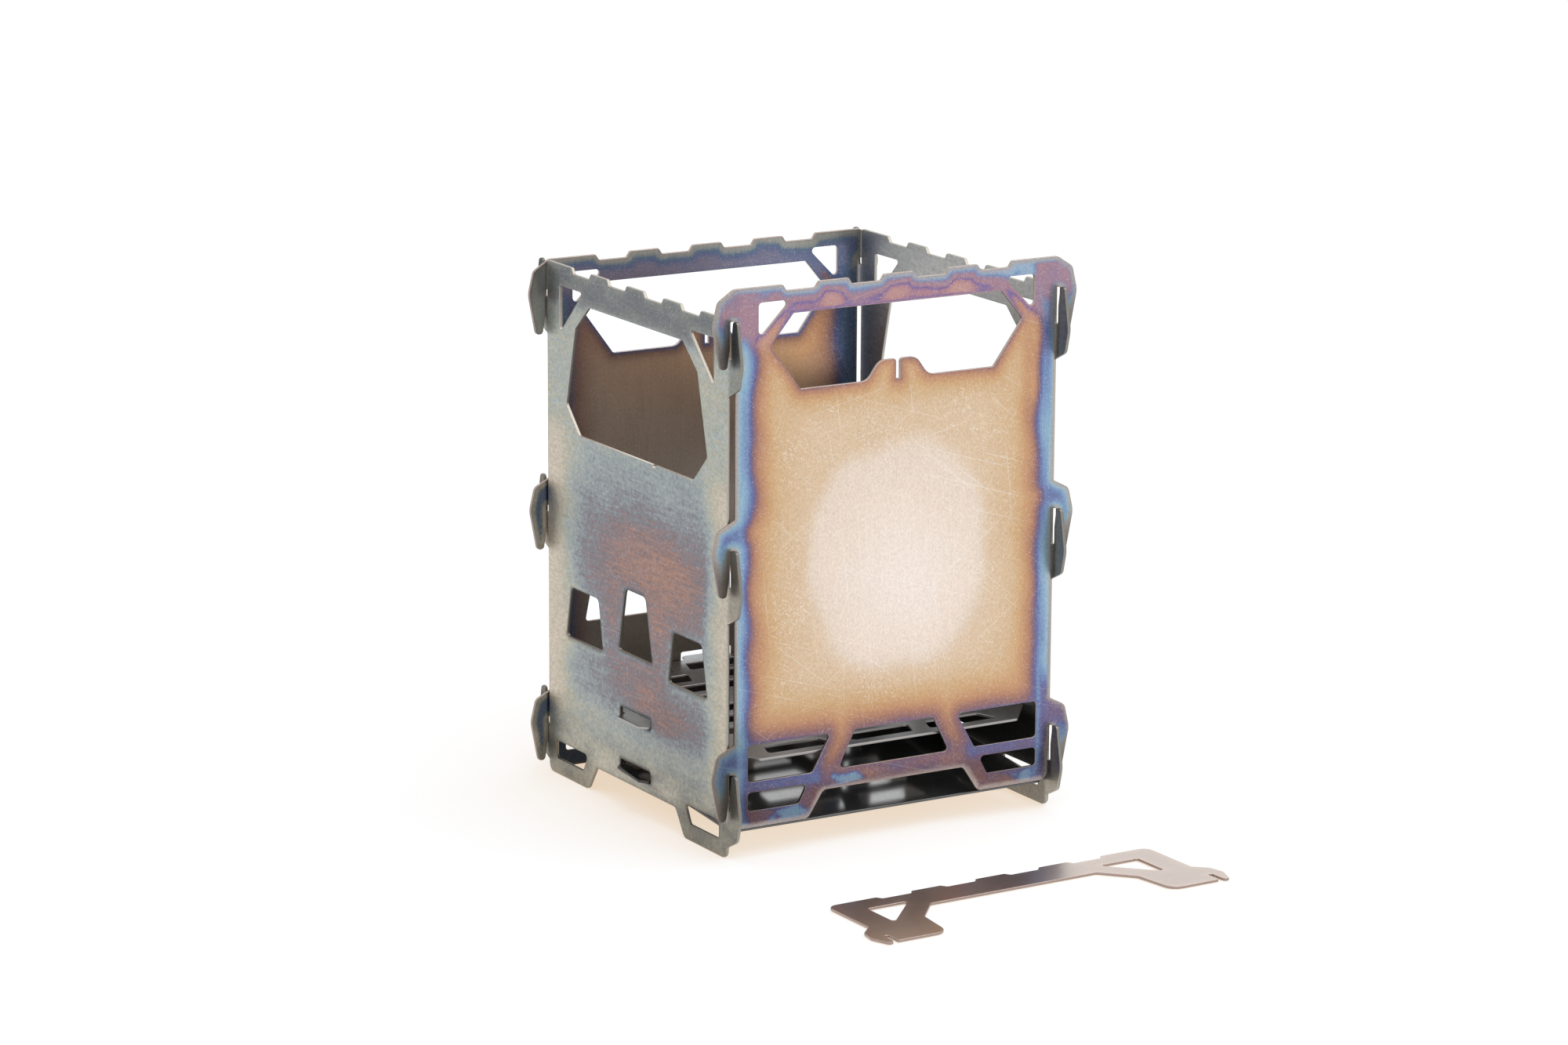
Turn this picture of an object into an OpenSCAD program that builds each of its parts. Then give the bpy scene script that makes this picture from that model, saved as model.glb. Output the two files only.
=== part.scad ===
// Flat-pack twig stove: four lapped wall panels, a slotted fire grate, an ash plate and a loose pot bar.
// Millimetres, +Z up, +X along the front panel, +Y to the back, origin on the floor midway along the whole set.

/* [Stove] */
// Width of the fire box over the wall panels
stove_width = 112.5; // [104:0.5:124]
// Height of the wall panels
stove_height = 160; // [150:1:180]
// Thickness of the wall panels
panel_t = 1.0; // [0.8:0.1:1.3]
// Thickness of the grate, the ash plate and the pot bar
plate_t = 0.8; // [0.6:0.1:1.0]

/* [Lap hooks] */
// Gap between a hook finger and the panel it grips
hook_gap = 0.2; // [0.15:0.05:0.4]
// How far the hooks stand out past the fire box
hook_reach = 5.85; // [5:0.25:8]
// Height of one hook
hook_height = 23; // [21:0.5:25]
// Height of the lowest hook tip above the floor
hook_foot = 3; // [2.5:0.25:4]

/* [Openings] */
// Depth of the pot notches in the top edges
notch_depth = 1.8; // [1:0.1:3]
// Height of the arch between the feet
arch_height = 8; // [6:0.5:9]
// Corner radius of the small windows
window_round = 1.1; // [0.6:0.1:1.5]

/* [Plates] */
// Width of the tabs that carry the plates
tab_width = 17; // [12:0.5:20]
// How far the tabs stand out of the wall panels
tab_reach = 2.6; // [1.5:0.1:4]
// Width of the tab that holds the grate in the back panel
back_tab_width = 14.6; // [10:0.2:17]
// Height of the slot floor under the grate
grate_height = 27.9; // [26:0.1:30]
// Height of the slot floor under the ash plate
ash_height = 11.2; // [10.9:0.1:12]
// Rows of slots in the grate
grate_rows = 9; // [7:1:9]

/* [Pose] */
// How far the front panel is lifted out of its hooks
front_lift = 8.9; // [0:0.1:20]
// Tilt of the ash plate on its tabs, front edge down
ash_tilt = 4.7; // [0:0.1:4.7]
// Distance of the loose pot bar in front of the stove centre
bar_distance = 108.7; // [95:0.1:130]
// Turn of the loose pot bar on the floor
bar_turn = 1.2; // [-5:0.1:5]

/* [Hidden] */

half = stove_width / 2;
edge_gap = 0.75;
body = half - panel_t - edge_gap;
finger = half + hook_gap;
reach = half + hook_reach;
hook_pitch = (stove_height - hook_height - hook_foot) / 2;
lap = hook_height / 2;
lap_play = 2.2;
seat_gap = 0.1;
plate_gap = 0.45;
plate_half = half - panel_t - plate_gap;
plate_depth = half - panel_t - 0.65;
slot_half = tab_width / 2 + 0.6;
grate_slot = plate_t + 2.4;
ash_slot = plate_t + 2.8;
ash_axis = ash_height + seat_gap + tab_width / 2 * sin(4.7) + plate_t / 2 * cos(4.7);
slit = plate_t / 2 + 0.25;
bar_seat = 31;
bar_slot = half - panel_t / 2;
bar_depth = bar_seat + 5.8;
bar_front = bar_distance + bar_depth * cos(bar_turn) + (half + 3) * abs(sin(bar_turn));
stove_y = (bar_front - reach) / 2;
arc_steps = 4;
titanium_tan = [0.80, 0.66, 0.50];
titanium_grey = [0.55, 0.56, 0.55];
titanium_dark = [0.30, 0.30, 0.31];
titanium_brown = [0.48, 0.43, 0.41];

// Points are given on a panel 109 wide and 160 tall and follow the chosen size.
function at(u, v, r = 0) = [u * body / 54.5, v * stove_height / 160, r];
function low(u, v, r = 0) = [u * body / 54.5, v, r];
function top(u, down, r = 0) = [u * body / 54.5, stove_height - down, r];

// An arc of radius r in the corner q between the neighbours p and s.
function unit(a) = a / norm(a);
function arc(p, q, s, r) =
    let (a = unit(p - q), b = unit(s - q))
    let (h = acos(a * b) / 2, c = q + unit(a + b) * r / sin(h))
    let (m = q + a * r / tan(h) - c, n = q + b * r / tan(h) - c)
    let (from = atan2(m.y, m.x), turn = atan2(m.x * n.y - m.y * n.x, m * n))
    [for (i = [0 : arc_steps]) c + r * [cos(from + turn * i / arc_steps), sin(from + turn * i / arc_steps)]];
function flat(p) = [p.x, p.y];
function rounded(pts) =
    let (n = len(pts))
    [for (i = [0 : n - 1])
        let (p = flat(pts[(i + n - 1) % n]), q = flat(pts[i]), s = flat(pts[(i + 1) % n]))
        each pts[i][2] > 0 ? arc(p, q, s, pts[i][2]) : [q]];
function flipped(pts) = [for (i = [len(pts) - 1 : -1 : 0]) [-pts[i].x, pts[i].y, pts[i][2]]];
function both(pts) = concat(pts, flipped(pts));

// Pot notches along a top edge at height v, from the corner to the middle.
function notches(v) = [
    for (n = [[39, 27], [17, 5]]) each [
        low(n[0], v, 0.8),
        low(n[0] - 1.2, v - notch_depth, 0.8),
        low(n[1] + 1.2, v - notch_depth, 0.8),
        low(n[1], v, 0.8)]];

function foot() = [
    low(24.3, arch_height, 2),
    low(29.6, 0, 2.5),
    [body, 0, 2.5]];

// Hook of a front or back panel: the finger points down, the slot opens at the bottom.
function hook_down(z) = [
    [body, z + lap + lap_play, 0.6],
    [finger, z + lap + lap_play, 0.6],
    [finger, z + 6, 2],
    [finger + 0.9, z, 1.1],
    [finger + 3.2, z, 1.3],
    [reach, z + 12.5, 7],
    [reach - 1.7, z + hook_height - 3.4, 2.5]];

// Hook of a side panel: the finger points up, the slot opens at the top.
function hook_up(z) = [
    [body, z + 0.4, 0.5],
    [reach - 1.7, z + 3.4, 2.5],
    [reach, z + hook_height - 12.5, 7],
    [finger + 3.2, z + hook_height, 1.3],
    [finger + 0.9, z + hook_height, 1.1],
    [finger, z + hook_height - 6, 2],
    [finger, z + lap, 0.6],
    [body, z + lap, 0.6]];

function front_outline() = both(concat(
    foot(),
    hook_down(hook_foot), [[body, hook_foot + hook_height - 0.4, 0.8]],
    hook_down(hook_foot + hook_pitch), [[body, hook_foot + hook_pitch + hook_height - 0.4, 0.8]],
    hook_down(hook_foot + 2 * hook_pitch), [[body + 0.6, stove_height, 3]],
    notches(stove_height)));

function side_outline() = both(concat(
    foot(),
    hook_up(hook_foot),
    hook_up(hook_foot + hook_pitch),
    hook_up(hook_foot + 2 * hook_pitch), [[body, stove_height, 1]],
    notches(stove_height)));

// Feeding opening with two bumps that guide the pot bar into the middle slit.
function feed_opening() = both([
    [slit, stove_height - bar_seat - 0.2, 0],
    [slit, stove_height - 25.2, 1],
    top(6.2, 25.2, 4),
    top(10.4, 31, 4),
    top(33, 31, 1),
    top(43, 17.6, 1.5),
    top(35.4, 8.6, 0.8)]);
function front_corner() = [top(47, 4.6, window_round), top(36.2, 4.6, window_round), top(47, 15.4, window_round)];
function front_low_side() = [
    low(50, 13.8, window_round),
    low(50, 24.9, window_round),
    low(21.8, 24.9, window_round),
    low(28.2, 13.8, window_round)];
function front_low_mid() = both([low(19.2, 13.8, window_round), low(13.6, 24.9, window_round)]);
function foot_window() = [
    low(50, 5, window_round),
    low(50, 10.6, window_round),
    low(29.8, 10.6, window_round),
    low(32.8, 5, window_round)];

function side_opening() = both([at(34.6, 109.3, 1.5), at(42.8, 117.6, 1.5), at(37, 141.7, 1.5), at(28.4, 149.5, 1.5)]);
function side_corner() = [top(46.5, 6.6, 0.7), top(32.1, 6.6, 0.7), top(46.5, 21, 0.7)];
function air_side() = [at(43, 45.4, 1), at(39.8, 61.2, 1.8), at(22.8, 61.2, 1.8), at(20, 45.4, 1)];
function air_mid() = both([at(10.4, 48.4, 1), at(6.2, 68, 1.8)]);
function tab_slot(z, h) = both([[slot_half, z, 0.6], [slot_half, z + h, 0.6]]);

module window(pts, t) {
    translate([0, 0, -1])
        linear_extrude(t + 2)
            polygon(rounded(pts));
}

module pair(pts, t) {
    window(pts, t);
    window(flipped(pts), t);
}

module front_sheet() {
    difference() {
        linear_extrude(panel_t)
            polygon(rounded(front_outline()));
        window(feed_opening(), panel_t);
        window(front_low_mid(), panel_t);
        pair(front_corner(), panel_t);
        pair(front_low_side(), panel_t);
        pair(foot_window(), panel_t);
    }
}

// Back panel: outline and top of the front panel, air holes and grate slot of the side panels.
module back_sheet() {
    difference() {
        linear_extrude(panel_t)
            polygon(rounded(front_outline()));
        window(feed_opening(), panel_t);
        window(air_mid(), panel_t);
        window(tab_slot(grate_height, grate_slot), panel_t);
        pair(front_corner(), panel_t);
        pair(air_side(), panel_t);
        pair(foot_window(), panel_t);
    }
}

module side_sheet() {
    difference() {
        linear_extrude(panel_t)
            polygon(rounded(side_outline()));
        window(side_opening(), panel_t);
        window(air_mid(), panel_t);
        window(tab_slot(grate_height, grate_slot), panel_t);
        window(tab_slot(ash_height, ash_slot), panel_t);
        pair(side_corner(), panel_t);
        pair(air_side(), panel_t);
        pair(foot_window(), panel_t);
    }
}

// Plate outline: square to the fire box with a chamfered tab on each side, and one at the back if it has a width.
function plate_outline(cut_x, cut_y, r, back_tab = 0) =
    let (tab = half + tab_reach)
    let (side = [
        [plate_half - cut_x, -plate_depth, r],
        [plate_half, -plate_depth + cut_y, r],
        [plate_half, -tab_width / 2, 0.5],
        [tab - 2, -tab_width / 2, 0],
        [tab, -tab_width / 2 + 2, 0.5],
        [tab, tab_width / 2 - 2, 0.5],
        [tab - 2, tab_width / 2, 0],
        [plate_half, tab_width / 2, 0.5],
        [plate_half, plate_depth - cut_y, r],
        [plate_half - cut_x, plate_depth, r]])
    let (back = back_tab > 0 ? [
        [back_tab / 2, plate_depth, 0.5],
        [back_tab / 2, tab - 1, 0],
        [back_tab / 2 - 1, tab, 0.5]] : [])
    both(concat(side, back));

module front_panel() {
    color(titanium_tan)
        translate([0, stove_y + panel_t - half, front_lift])
            rotate([90, 0, 0])
                front_sheet();
}

module back_panel() {
    color(titanium_tan)
        translate([0, stove_y + half, 0])
            rotate([90, 0, 0])
                back_sheet();
}

module left_panel() {
    color(titanium_grey)
        translate([-half, stove_y, 0])
            rotate([90, 0, 90])
                difference() {
                    side_sheet();
                    // start nick of the cut in the lower edge of the opening
                    translate([at(-11.5, 0).x, at(0, 109.2).y, -1])
                        cylinder(r = 0.9, h = panel_t + 2, $fn = 24);
                }
}

module right_panel() {
    color(titanium_grey)
        translate([half - panel_t, stove_y, 0])
            rotate([90, 0, 90])
                side_sheet();
}

// Rows of three slots with slanted ends, mirrored front to back.
row_pitch = 2 * (plate_depth - 2) / grate_rows;
row_half = row_pitch * 0.32;
module grate_row(lean) {
    for (s = [-1, 1])
        scale([s, 1, 1])
            window([
                [plate_half * 0.725, -row_half, 1],
                [plate_half * 0.725 - lean, row_half, 1],
                [plate_half * 0.295 + lean, row_half, 1],
                [plate_half * 0.295, -row_half, 1]], plate_t);
    window(both([[plate_half * 0.185, -row_half, 1], [plate_half * 0.185 + lean, row_half, 1]]), plate_t);
}

module fire_grate() {
    color(titanium_dark)
        translate([0, stove_y, grate_height + seat_gap])
            difference() {
                linear_extrude(plate_t)
                    polygon(rounded(plate_outline(10.2, 12.5, 1.5, back_tab_width)));
                for (i = [0 : grate_rows - 1]) {
                    y = (i - (grate_rows - 1) / 2) * row_pitch;
                    translate([0, y, 0])
                        scale([1, y > 1 ? -1 : 1, 1])
                            grate_row(abs(y) < 1 ? 0 : 2.6);
                }
            }
}

module ash_plate() {
    color(titanium_dark)
        translate([0, stove_y, ash_axis])
            rotate([ash_tilt, 0, 0])
                translate([0, 0, -plate_t / 2])
                    linear_extrude(plate_t)
                        polygon(rounded(plate_outline(2, 2, 0.6)));
}

// Loose pot bar, lying on the floor with its notched edge towards the stove.
function bar_outline() = both(concat([
    [28.6, -12.6, 1.5],
    [36.8, -21.8, 2],
    [38.6, -bar_seat - 5.3, 4],
    [bar_slot - panel_t / 2 - 0.15, -bar_seat - 5.3, 0.5],
    [bar_slot - panel_t / 2 - 0.15, -bar_seat, 0.4],
    [bar_slot + panel_t / 2 + 0.15, -bar_seat, 0.4],
    [bar_slot + panel_t / 2 + 0.15, -bar_seat - 4.2, 1],
    [bar_slot + panel_t / 2 + 0.7, -bar_depth, 0.5],
    [bar_slot + panel_t / 2 + 2.2, -bar_depth, 1],
    [half + 4.4, -bar_seat, 2.5],
    [half + 3.6, -bar_seat + 5, 2.5],
    [half - 0.6, -22, 0.6],
    [half - 0.6, 0, 3]],
    notches(0)));
function bar_window() = [[46.8, -7.6, 0.8], [33, -7.6, 0.8], [46.8, -21.8, 0.8]];

module pot_bar() {
    color(titanium_brown)
        translate([0, stove_y - bar_distance, 0])
            rotate([0, 0, bar_turn])
                difference() {
                    linear_extrude(plate_t)
                        polygon(rounded(bar_outline()));
                    pair(bar_window(), plate_t);
                }
}

front_panel();
back_panel();
left_panel();
right_panel();
fire_grate();
ash_plate();
pot_bar();
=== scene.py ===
import math

import bpy
import numpy as np
from mathutils.geometry import delaunay_2d_cdt
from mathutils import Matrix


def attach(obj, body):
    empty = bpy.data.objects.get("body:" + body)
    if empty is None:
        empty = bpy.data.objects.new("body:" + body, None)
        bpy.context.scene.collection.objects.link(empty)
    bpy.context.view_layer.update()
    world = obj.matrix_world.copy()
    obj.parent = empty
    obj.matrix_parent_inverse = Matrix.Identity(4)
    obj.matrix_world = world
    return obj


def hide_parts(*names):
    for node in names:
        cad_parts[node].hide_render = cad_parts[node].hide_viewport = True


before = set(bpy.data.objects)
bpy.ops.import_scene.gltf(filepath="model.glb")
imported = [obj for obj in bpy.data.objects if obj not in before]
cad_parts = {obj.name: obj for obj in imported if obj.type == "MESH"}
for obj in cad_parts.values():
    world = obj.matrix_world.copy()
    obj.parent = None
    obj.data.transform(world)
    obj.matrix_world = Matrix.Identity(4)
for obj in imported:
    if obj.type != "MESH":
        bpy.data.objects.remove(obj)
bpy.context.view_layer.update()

scene = bpy.context.scene
print("frame loaded:", ", ".join(sorted(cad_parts)))


# small helpers for colours and shader nodes
def tone(red, green, blue):
    # the linear colour of a screen colour that is given from 0 to 255
    shade = np.array([red, green, blue]) / 255.0
    shade = np.where(shade <= 0.04045, shade / 12.92, ((shade + 0.055) / 1.055) ** 2.4)
    return (*map(float, shade), 1.0)


def addNode(tree, kind, inputs=None, **settings):
    # an input is either another node's socket or a fixed value
    node = tree.nodes.new("ShaderNode" + kind)
    for key, value in settings.items():
        setattr(node, key, value)
    for key, value in (inputs or {}).items():
        if isinstance(value, bpy.types.NodeSocket):
            tree.links.new(value, node.inputs[key])
        else:
            node.inputs[key].default_value = value
    return node


def calc(tree, operation, first, second=0.0, clamp=False):
    node = addNode(tree, "Math", {0: first, 1: second}, operation=operation, use_clamp=clamp)
    return node.outputs[0]


def blend(tree, share, first, second, mode="MIX"):
    # inputs 6 and 7 and output 2 are the colour sockets of a Mix node
    colours = {0: share, 6: first, 7: second}
    return addNode(tree, "Mix", colours, data_type="RGBA", blend_type=mode).outputs[2]


def step(tree, value, low, high):
    # 0 below low, 1 above high, a smooth S between
    node = addNode(tree, "MapRange", {"Value": value, "From Min": low, "From Max": high},
                   interpolation_type="SMOOTHSTEP")
    return node.outputs[0]


def ramp(tree, share, stops):
    # stops are pairs of a place from 0 to 1 and a screen colour
    node = addNode(tree, "ValToRGB", {0: share})
    band = node.color_ramp
    band.elements.remove(band.elements[1])
    band.elements[0].position = stops[0][0]
    band.elements[0].color = tone(*stops[0][1])
    for place, shade in stops[1:]:
        band.elements.new(place).color = tone(*shade)
    return node.outputs[0]


def noise(tree, vector, length, detail=2.0, turn=0.0, shift=(0, 0, 0), bend=0.0):
    # length is the size of one blotch along and across, in millimetres
    along, across = length if isinstance(length, tuple) else (length, length)
    place = {"Vector": vector, "Location": shift, "Scale": (along, across, across),
             "Rotation": (0, 0, math.radians(turn))}
    placed = addNode(tree, "Mapping", place, vector_type="TEXTURE").outputs[0]
    grains = {"Vector": placed, "Scale": 1.0, "Detail": detail, "Distortion": bend}
    return addNode(tree, "TexNoise", grains).outputs[0]


# cut sheets: each one follows the outline of its CAD solid, with rounded cut edges; lengths in millimetres
sheetMesh = {
    "perMetre": 1000.0,
    "spacing": 1.1,       # of the grid on the flat faces
    "rowShare": 0.866,    # of the spacing, from row to row
    "clearOfRim": 0.6,    # of the spacing, from the rim to the grid
    "edgeRound": 0.17,    # radius of the cut edges
    "edgeSteps": 2,
    "faceLean": 0.9,      # least cosine between a triangle's normal and the way the sheet faces
    "faceDepth": 0.05,    # how far below the flat face its triangles may lie
    "digits": 3,          # points that agree to this many digits are one
    "merge": 1e-7,        # closest distance of two points in the Delaunay mesh
    "slip": 1e-3,         # most that the Delaunay mesh may move a point
    "sideGap": 60.0,      # from the pattern of one side to that of the other
}
tiny = 1e-12              # keeps divisions away from zero


def readOutline(node, facing, across):
    # the outline of the flat face: its triangle edges that no second triangle shares
    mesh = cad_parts[node].data
    mesh.calc_loop_triangles()
    place = np.empty(len(mesh.vertices) * 3, np.float32)
    mesh.vertices.foreach_get("co", place)
    corner = np.empty(len(mesh.loop_triangles) * 3, np.int32)
    mesh.loop_triangles.foreach_get("vertices", corner)
    tri = sheetMesh["perMetre"] * place.astype(float).reshape(-1, 3)[corner.reshape(-1, 3)]
    cross = np.cross(tri[:, 1] - tri[:, 0], tri[:, 2] - tri[:, 0])
    size = np.linalg.norm(cross, axis=1)
    outward = (cross @ np.array(facing, float)) > sheetMesh["faceLean"] * size
    normal = cross[outward].sum(0)
    normal /= np.linalg.norm(normal)
    right = np.array(across, float) - normal * (normal @ np.array(across, float))
    right /= np.linalg.norm(right)
    axes = np.stack([right, np.cross(normal, right), normal])
    depth = tri @ normal
    flat = outward & (depth.min(1) > depth.max() - sheetMesh["faceDepth"])
    spot = np.round(tri[flat] @ axes[:2].T, sheetMesh["digits"])
    points, index = np.unique(spot.reshape(-1, 2), axis=0, return_inverse=True)
    index = index.reshape(-1, 3)
    edges = np.concatenate([index[:, [0, 1]], index[:, [1, 2]], index[:, [2, 0]]])
    edges = edges[edges[:, 0] != edges[:, 1]]
    _, where, count = np.unique(np.sort(edges, 1), axis=0, return_index=True, return_counts=True)
    edges = edges[where[count == 1]]
    used, edges = np.unique(edges, return_inverse=True)
    return points[used], edges.reshape(-1, 2), axes, depth.max(), depth.min()


def loopNumbers(count, edges):
    # points joined by edges take the lowest number among them
    label = np.arange(count)
    while True:
        low = np.minimum(label[edges[:, 0]], label[edges[:, 1]])
        new = label.copy()
        np.minimum.at(new, edges[:, 0], low)
        np.minimum.at(new, edges[:, 1], low)
        new = new[new]
        if (new == label).all():
            return label
        label = new


def insideOf(spot, start, end):
    # a point is inside if a ray to the right crosses the outline an odd number of times
    climb = end[:, 1] - start[:, 1]
    climb = np.where(climb == 0, tiny, climb)
    level = spot[:, 1:2]
    hit = (start[:, 1] > level) != (end[:, 1] > level)
    cut = start[:, 0] + (level - start[:, 1]) * (end[:, 0] - start[:, 0]) / climb
    return (hit & (spot[:, :1] < cut)).sum(1) % 2 == 1


def edgeDistance(spot, start, end):
    # distance to the nearest of the line pieces from start to end
    way = end - start
    gone = spot[:, None] - start
    share = np.clip((gone * way).sum(2) / np.maximum((way ** 2).sum(1), tiny), 0, 1)
    return np.sqrt(((gone - share[..., None] * way) ** 2).sum(2).min(1))


def cutSheet(piece, heatOf):
    # heatOf gives heat, rails, painted shade and wear from the place on the sheet and the ways to its
    # edges
    points, edges, axes, top, bottom = readOutline(piece["node"], piece["facing"], piece["across"])
    middle = (points[:, 0].min() + points[:, 0].max()) / 2
    floor = points[:, 1].min()
    start, end = points[edges[:, 0]], points[edges[:, 1]]
    along = end - start
    along /= np.linalg.norm(along, axis=1)[:, None]
    inward = np.stack([-along[:, 1], along[:, 0]], 1)
    lean = np.zeros_like(points)
    np.add.at(lean, edges[:, 0], inward)
    np.add.at(lean, edges[:, 1], inward)
    lean *= 2 / (lean ** 2).sum(1)[:, None]  # moves a corner so that both its edges shift by 1

    # rim: a quarter round, the wall and a quarter round, carried along the outline
    radius = sheetMesh["edgeRound"]
    angle = np.linspace(0, math.pi / 2, sheetMesh["edgeSteps"] + 1)
    inset = radius * (1 - np.sin(angle))
    sink = radius * (1 - np.cos(angle))
    inset = np.concatenate([inset, inset[::-1]])
    level = np.concatenate([top - sink, bottom + sink[::-1]])
    rim = points + inset[:, None, None] * lean
    count, rings = len(points), len(level)

    # flat faces: a staggered grid inside the rim, joined to it by a Delaunay mesh
    gap = sheetMesh["spacing"]
    low, high = points.min(0), points.max(0)
    rows = np.arange(low[1], high[1], gap * sheetMesh["rowShare"])
    cols = np.arange(low[0], high[0] + gap, gap)
    grid = np.stack(np.meshgrid(cols, rows), -1)
    grid[1::2, :, 0] += gap / 2
    grid = grid.reshape(-1, 2)
    grid = grid[insideOf(grid, start, end)]
    grid = grid[edgeDistance(grid, start, end) > sheetMesh["clearOfRim"] * gap]
    spots = np.concatenate([rim[0], grid])
    made = delaunay_2d_cdt(spots.tolist(), edges.tolist(), [], 0, sheetMesh["merge"])
    triangles = np.array(made[2])
    solved = np.array(made[0])
    if len(solved) != len(spots) or abs(solved - spots).max() > sheetMesh["slip"]:
        raise ValueError(f"{piece['node']}: the outline crosses itself")
    centre = spots[triangles].mean(1)
    triangles = triangles[insideOf(centre, rim[0][edges[:, 0]], rim[0][edges[:, 1]])]

    flat = np.concatenate([rim.reshape(-1, 2), grid, grid])
    depth = np.concatenate([np.repeat(level, count), np.full(len(grid), top), np.full(len(grid), bottom)])
    first = rings * count
    fromGrid = triangles - count + first
    upper = np.where(triangles < count, triangles, fromGrid)
    lower = np.where(triangles < count, triangles + (rings - 1) * count, fromGrid + len(grid))
    a, b = edges[:, 0], edges[:, 1]
    ring = count * np.arange(rings - 1)[:, None]
    quads = np.stack([a + ring + count, b + ring + count, b + ring, a + ring], -1).reshape(-1, 4)
    triangles = np.concatenate([upper, lower[:, ::-1]])
    place = (flat @ axes[:2] + depth[:, None] * axes[2]) / sheetMesh["perMetre"]

    mesh = bpy.data.meshes.new(piece["name"])
    corners = np.concatenate([quads.ravel(), triangles.ravel()]).astype(np.int32)
    sizes = np.concatenate([np.full(len(quads), 4), np.full(len(triangles), 3)]).astype(np.int32)
    mesh.vertices.add(len(place))
    mesh.vertices.foreach_set("co", place.astype(np.float32).ravel())
    mesh.loops.add(len(corners))
    mesh.loops.foreach_set("vertex_index", corners)
    mesh.polygons.add(len(sizes))
    mesh.polygons.foreach_set("loop_start", (np.cumsum(sizes) - sizes).astype(np.int32))
    mesh.polygons.foreach_set("use_smooth", sizes == 4)
    mesh.update(calc_edges=True)

    # what the finish reads: heat, rails, painted shade, cut and worn edges, inner side and place on the
    # sheet
    label = loopNumbers(count, edges)
    outer = label[np.argmin(points[:, 0])]
    rimEdges = label[a] == outer
    toRim = edgeDistance(flat, start[rimEdges], end[rimEdges])
    toHole = toRim
    if not rimEdges.all():
        toHole = edgeDistance(flat, start[~rimEdges], end[~rimEdges])
    inner = np.concatenate([np.repeat(np.arange(rings) >= rings // 2, count),
                            np.zeros(len(grid), bool), np.ones(len(grid), bool)])
    ringNumber = np.repeat(np.arange(rings), count)
    wall = np.concatenate([(ringNumber > 0) & (ringNumber < rings - 1), np.zeros(2 * len(grid), bool)])
    u, v = flat[:, 0] - middle, flat[:, 1] - floor
    # the third value is shade painted into the colour
    heat, rail, paintedShade, worn = heatOf(u, v, toRim, toHole, inner)
    wall = np.maximum(wall, worn)
    values = {"tintHeat": heat, "rail": rail, "paintedShade": paintedShade, "wall": wall, "inner": inner}
    for key, value in values.items():
        mesh.attributes.new(key, "FLOAT", "POINT").data.foreach_set("value", value.astype(np.float32))
    lie = np.stack([u, v, sheetMesh["sideGap"] * inner + piece["seed"]], 1).astype(np.float32)
    mesh.attributes.new("lie", "FLOAT_VECTOR", "POINT").data.foreach_set("vector", lie.ravel())

    thing = bpy.data.objects.new(piece["name"], mesh)
    scene.collection.objects.link(thing)
    mesh.materials.append(piece["finish"])
    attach(thing, piece["body"])
    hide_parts(piece["node"])
    print(piece["name"], len(quads) * 2 + len(triangles), "triangles")


# heat-tinted sheet: oxide colours by heat, grain, scratches, specks and bright cut edges
sheetSurface = {
    "swaySize": 16.0, "gritShift": (9, 4, 2),
    "patchSize": 16.0, "patchShift": (31, 7, 0), "patchRange": (0.40, 0.66), "patchShare": (0.55, 0.25),
    "longFrom": 20.0, "longShare": 0.68,    # scratches longer than this don't come in patches
    "scratchShift": (17, 5, 3), "scratchBend": 0.4, "scratchEdge": 0.05,
    "hotRange": (0.33, 0.48),               # heat at which scratches get fainter
    "speckShift": (3, 9, 4), "speckRange": (0.64, 0.76),
    "stripeSize": 0.5, "polish": 0.08, "dent": -0.6, "bumpDepth": 0.00006,
}


def scratchMarks(tree, lie, heat, inner, look):
    # nicks and long scratches: thin crests of drawn-out noise at several angles, thick in some places
    patch = noise(tree, lie, sheetSurface["patchSize"], 3, shift=sheetSurface["patchShift"])
    share, least = sheetSurface["patchShare"]
    patch = calc(tree, "MULTIPLY", step(tree, patch, *sheetSurface["patchRange"]), share)
    patch = calc(tree, "ADD", patch, least)
    marks = 0.0
    for number, (turn, length, width, low) in enumerate(look["scratches"]):
        shift = [number * part for part in sheetSurface["scratchShift"]]
        line = noise(tree, lie, (length, width), 0, turn, shift, sheetSurface["scratchBend"])
        strong = sheetSurface["longShare"] if length > sheetSurface["longFrom"] else patch
        crest = step(tree, line, low, low + sheetSurface["scratchEdge"])
        marks = calc(tree, "MAXIMUM", calc(tree, "MULTIPLY", crest, strong), marks)
    hot = calc(tree, "MAXIMUM", step(tree, heat, *sheetSurface["hotRange"]), inner)
    hot = calc(tree, "MULTIPLY", hot, 1.0 - look["hotScratch"])
    marks = calc(tree, "MULTIPLY", marks, calc(tree, "SUBTRACT", 1.0, hot))
    speck = noise(tree, lie, look["speckSize"], 1, shift=sheetSurface["speckShift"])
    speck = step(tree, speck, *sheetSurface["speckRange"])
    return calc(tree, "MAXIMUM", calc(tree, "MULTIPLY", marks, look["scratch"]),
                calc(tree, "MULTIPLY", speck, look["speck"]))


def darken(tree, colour, light):
    # the colour times a grey
    grey = addNode(tree, "CombineColor", {0: light, 1: light, 2: light}).outputs[0]
    return blend(tree, 1.0, colour, grey, "MULTIPLY")


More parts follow.
